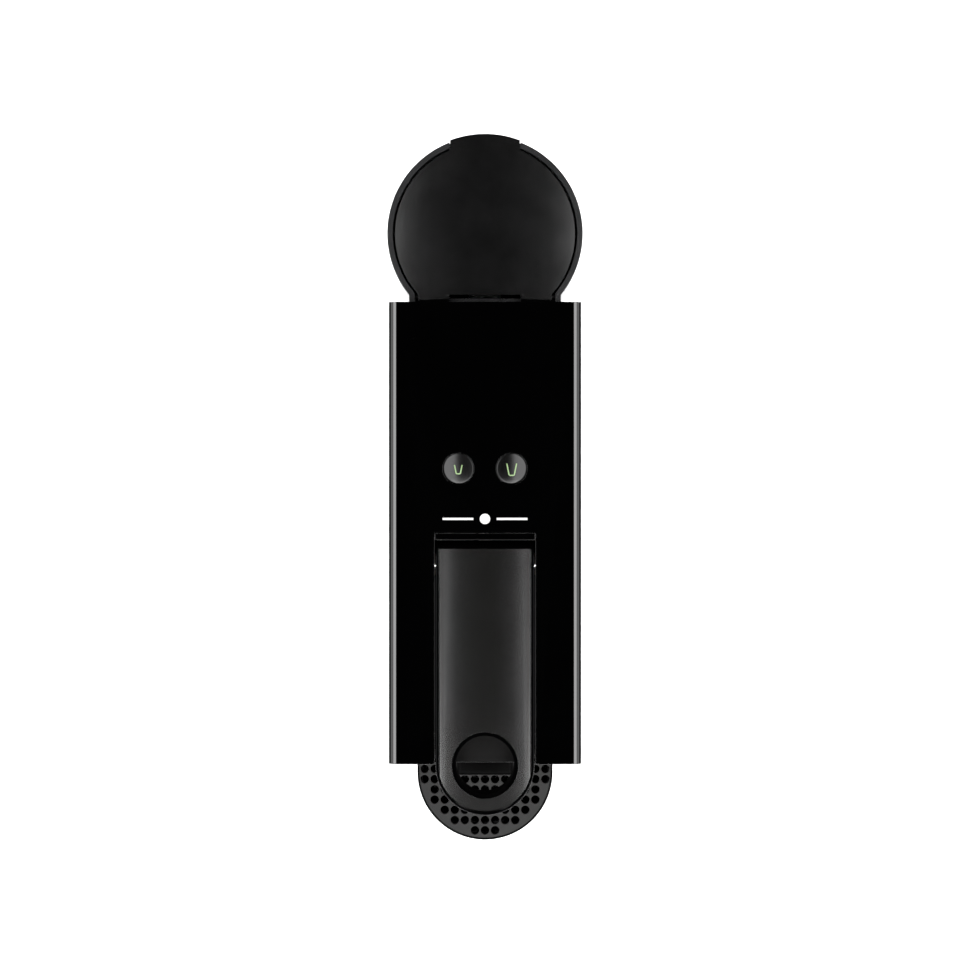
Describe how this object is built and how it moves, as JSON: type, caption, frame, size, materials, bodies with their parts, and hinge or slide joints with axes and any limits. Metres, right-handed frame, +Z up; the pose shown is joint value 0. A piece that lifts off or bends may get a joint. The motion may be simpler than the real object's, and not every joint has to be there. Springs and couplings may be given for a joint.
{
  "type": "pod coffee machine",
  "caption": "Slim black pod coffee machine with a flush top lever ending in a finger ring, push buttons, round rear water tank with lid and a round-fronted drip drawer.",
  "frame": {"origin": "middle of the bounding box, on the surface that the machine stands on", "axes": "+X to the machine's right, +Y to the rear where the tank is, +Z up"},
  "size_m": [0.084, 0.3305, 0.2042],
  "materials": {
    "gloss_black": "polished piano black ABS",
    "side_black": "smooth black ABS side shells",
    "matte_black": "fine matt black plastic",
    "lever_grey": "fine textured warm dark grey plastic",
    "slot_grey": "satin dark grey plastic",
    "grid_grey": "satin dark grey plate",
    "mark_grey": "pale grey inlay",
    "key_black": "gloss black push button",
    "glyph_green": "pale green light pipe",
    "tank_smoke": "smoke grey transparent tank plastic",
    "valve_plastic": "grey acetal",
    "rubber_black": "matt rubber",
    "silicone_grey": "translucent silicone",
    "steel": "machined steel",
    "zinc_sheet": "zinc plated sheet",
    "bronze": "sintered bronze",
    "pump_plastic": "dark moulded pump body",
    "meter_white": "white moulded housing",
    "cast_alu": "die cast aluminium",
    "board_green": "solder mask over glass laminate",
    "brew_plastic": "glass filled black nylon",
    "switch_black": "moulded switch"
  },
  "bodies": {
    "housing": {"top_cover": "gloss_black", "top_mark": "mark_grey", "left_panel": "side_black", "right_panel": "side_black", "rear_cover": "matte_black", "front_cover": "side_black", "head_underside": "matte_black", "slot_frame": "slot_grey", "hinge_strip": "gloss_black", "base_plate": "matte_black", "tank_seat": "matte_black", "rubber_feet": "rubber_black", "base_screws": "steel", "cord_gland": "matte_black", "chassis_frame": "zinc_sheet", "water_pump": "pump_plastic", "pump_mounts": "rubber_black", "pump_bracket": "zinc_sheet", "flow_meter": "meter_white", "thermoblock": "cast_alu", "standoffs": "meter_white", "thermostats": "zinc_sheet", "control_board": "board_green", "water_hoses": "silicone_grey", "brew_hose": "silicone_grey", "tank_coupling": "valve_plastic", "lever_bushes": "bronze", "brew_frame": "brew_plastic", "extraction_plate": "steel", "capsule_chute": "matte_black", "coffee_outlet": "matte_black", "lever_switch": "switch_black", "button_board": "board_green", "espresso_spring": "steel", "lungo_spring": "steel"},
    "lever": {"lever_frame": "gloss_black", "lever_pad": "lever_grey", "lever_axle": "steel", "crank_yoke": "steel", "crank_pin": "steel"},
    "links": {"toggle_links": "steel", "link_pins": "steel"},
    "cage": {"capsule_cage": "brew_plastic", "cage_seal": "silicone_grey", "needle_plate": "steel"},
    "espresso_key": {"espresso_button": "key_black", "espresso_glyph": "glyph_green"},
    "lungo_key": {"lungo_button": "key_black", "lungo_glyph": "glyph_green"},
    "tank": {"water_tank": "tank_smoke", "tank_valve": "valve_plastic", "valve_seal": "silicone_grey", "valve_cap": "valve_plastic", "valve_spring": "steel"},
    "poppet": {"valve_poppet": "valve_plastic"},
    "lid": {"tank_lid": "matte_black", "lid_pins": "matte_black"},
    "drawer": {"drip_tray": "gloss_black", "capsule_bin": "matte_black"},
    "grid": {"cup_grid": "grid_grey"}
  },
  "joints": [
    {"name": "lever_hinge", "type": "hinge", "parent": "housing", "child": "lever", "pos_m": [0, -0.0197, 0.194], "axis": [-1, 0, 0], "range_deg": [0, 85]},
    {"name": "link_hinge", "type": "hinge", "parent": "lever", "child": "links", "pos_m": [0, -0.03196, 0.18723], "axis": [-1, 0, 0], "range_deg": [-118.61, 0]},
    {"name": "cage_slide", "type": "slide", "parent": "housing", "child": "cage", "axis": [0, 1, 0], "range_m": [0, 0.0201], "deforming": ["brew_hose"]},
    {"name": "espresso_press", "type": "slide", "parent": "housing", "child": "espresso_key", "axis": [0, 0, -1], "range_m": [0, 0.0012], "stiffness_N_per_m": 400, "springref_m": -0.0015, "deforming": ["espresso_spring"]},
    {"name": "lungo_press", "type": "slide", "parent": "housing", "child": "lungo_key", "axis": [0, 0, -1], "range_m": [0, 0.0012], "stiffness_N_per_m": 400, "springref_m": -0.0015, "deforming": ["lungo_spring"]},
    {"name": "tank_lift", "type": "slide", "parent": "housing", "child": "tank", "axis": [0, 0, 1], "range_m": [0, 0.12]},
    {"name": "valve_stroke", "type": "slide", "parent": "tank", "child": "poppet", "axis": [0, 0, -1], "range_m": [0, 0.0021], "deforming": ["valve_spring"]},
    {"name": "lid_hinge", "type": "hinge", "parent": "tank", "child": "lid", "pos_m": [0, 0.095, 0.1939], "axis": [1, 0, 0], "range_deg": [0, 80]},
    {"name": "drawer_slide", "type": "slide", "parent": "housing", "child": "drawer", "axis": [0, -1, 0], "range_m": [0, 0.11]},
    {"name": "grid_lift", "type": "slide", "parent": "drawer", "child": "grid", "axis": [0, 0, 1], "range_m": [0, 0.05]}
  ],
  "couplings": [
    {"joint": "link_hinge", "follows": "lever_hinge", "ratio": -1.3895},
    {"joint": "cage_slide", "follows": "lever_hinge", "m_per_rad": 0.013481},
    {"joint": "valve_stroke", "follows": "tank_lift", "ratio": 0.016667}
  ]
}
